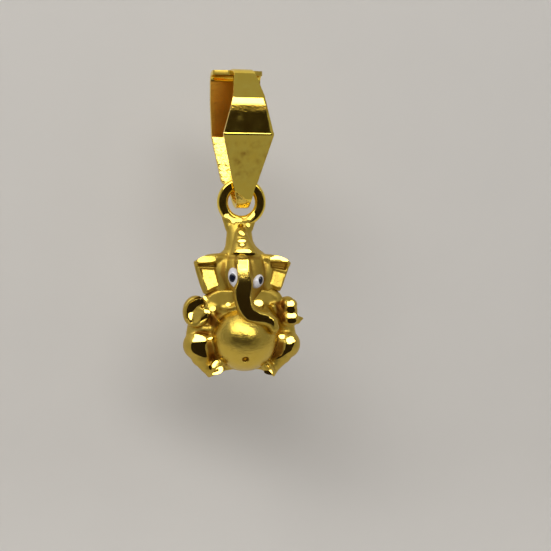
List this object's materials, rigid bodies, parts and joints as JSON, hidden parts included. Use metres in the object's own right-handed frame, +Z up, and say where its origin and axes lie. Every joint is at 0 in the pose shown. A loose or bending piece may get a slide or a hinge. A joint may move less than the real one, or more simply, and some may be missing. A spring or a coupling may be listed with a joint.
{
  "type": "gold pendant",
  "caption": "Seated elephant-headed figure charm in yellow gold with enamel eyes, hung by a soldered ring in a folded kite-shaped bail, and free to swing to front and back.",
  "frame": {"origin": "the middle of the inside of the bail's top, where a chain bears", "axes": "+Z up, +Y to the back of the figure, +X to the right of someone who looks at its front"},
  "size_m": [0.0095, 0.0054, 0.0241],
  "materials": {
    "bail_gold": "polished",
    "charm_gold": "satin, with polished facets",
    "white_enamel": "gloss",
    "black_enamel": "gloss"
  },
  "bodies": {
    "bail": {"bail": "bail_gold"},
    "charm": {"charm": "charm_gold", "eye_white_left": "white_enamel", "eye_white_right": "white_enamel", "pupil_left": "black_enamel", "pupil_right": "black_enamel"}
  },
  "joints": [
    {"name": "ring_swing", "type": "hinge", "parent": "bail", "child": "charm", "pos_m": [0, 0, -0.00863], "axis": [1, 0, 0], "range_deg": [-60, 45]}
  ]
}
